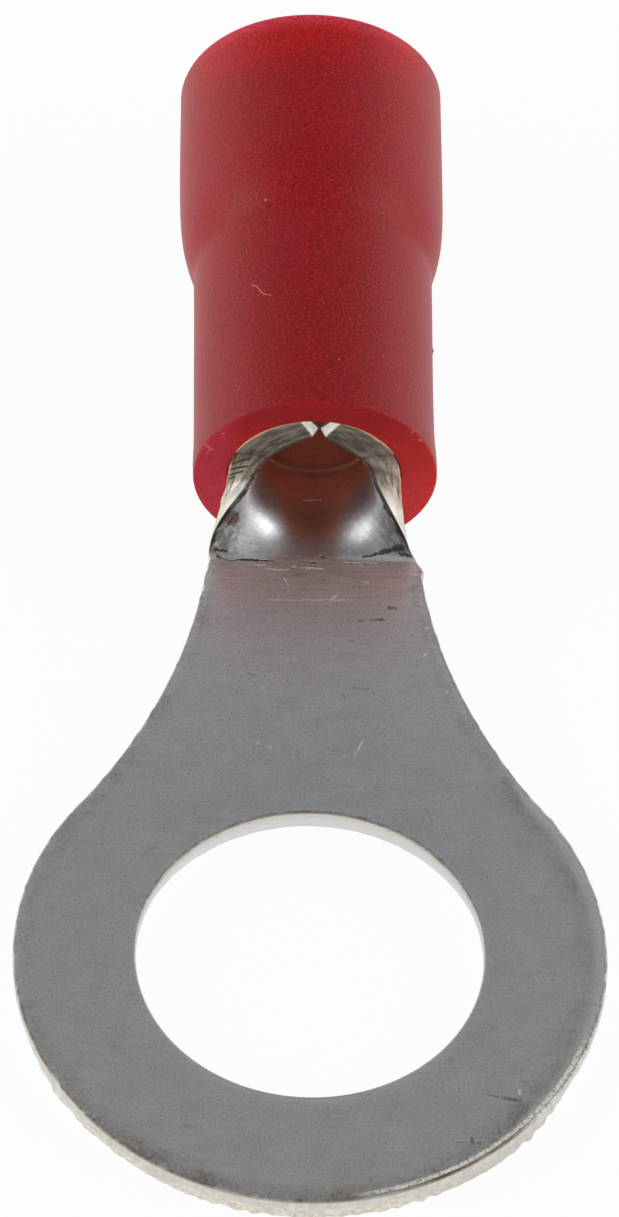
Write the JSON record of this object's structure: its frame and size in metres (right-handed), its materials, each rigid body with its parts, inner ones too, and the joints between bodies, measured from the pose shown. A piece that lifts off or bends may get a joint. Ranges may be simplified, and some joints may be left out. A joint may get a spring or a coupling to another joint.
{
  "type": "ring terminal",
  "caption": "Insulated ring terminal: a flat ring for a stud, a narrowing tongue and a rolled wire barrel inside a flared red plastic sleeve.",
  "frame": {"origin": "centre of the stud hole on the seating face", "axes": "+Z out of the ring's top face, +Y from the stud hole towards the wire entry"},
  "size_m": [0.0114, 0.0264, 0.0054],
  "materials": {
    "tinned_copper": "satin tin plate on copper, bright cut edges",
    "red_vinyl": "soft red vinyl with a fine frosted surface"
  },
  "bodies": {
    "root": {"terminal": "tinned_copper", "sleeve": "red_vinyl"}
  },
  "joints": []
}
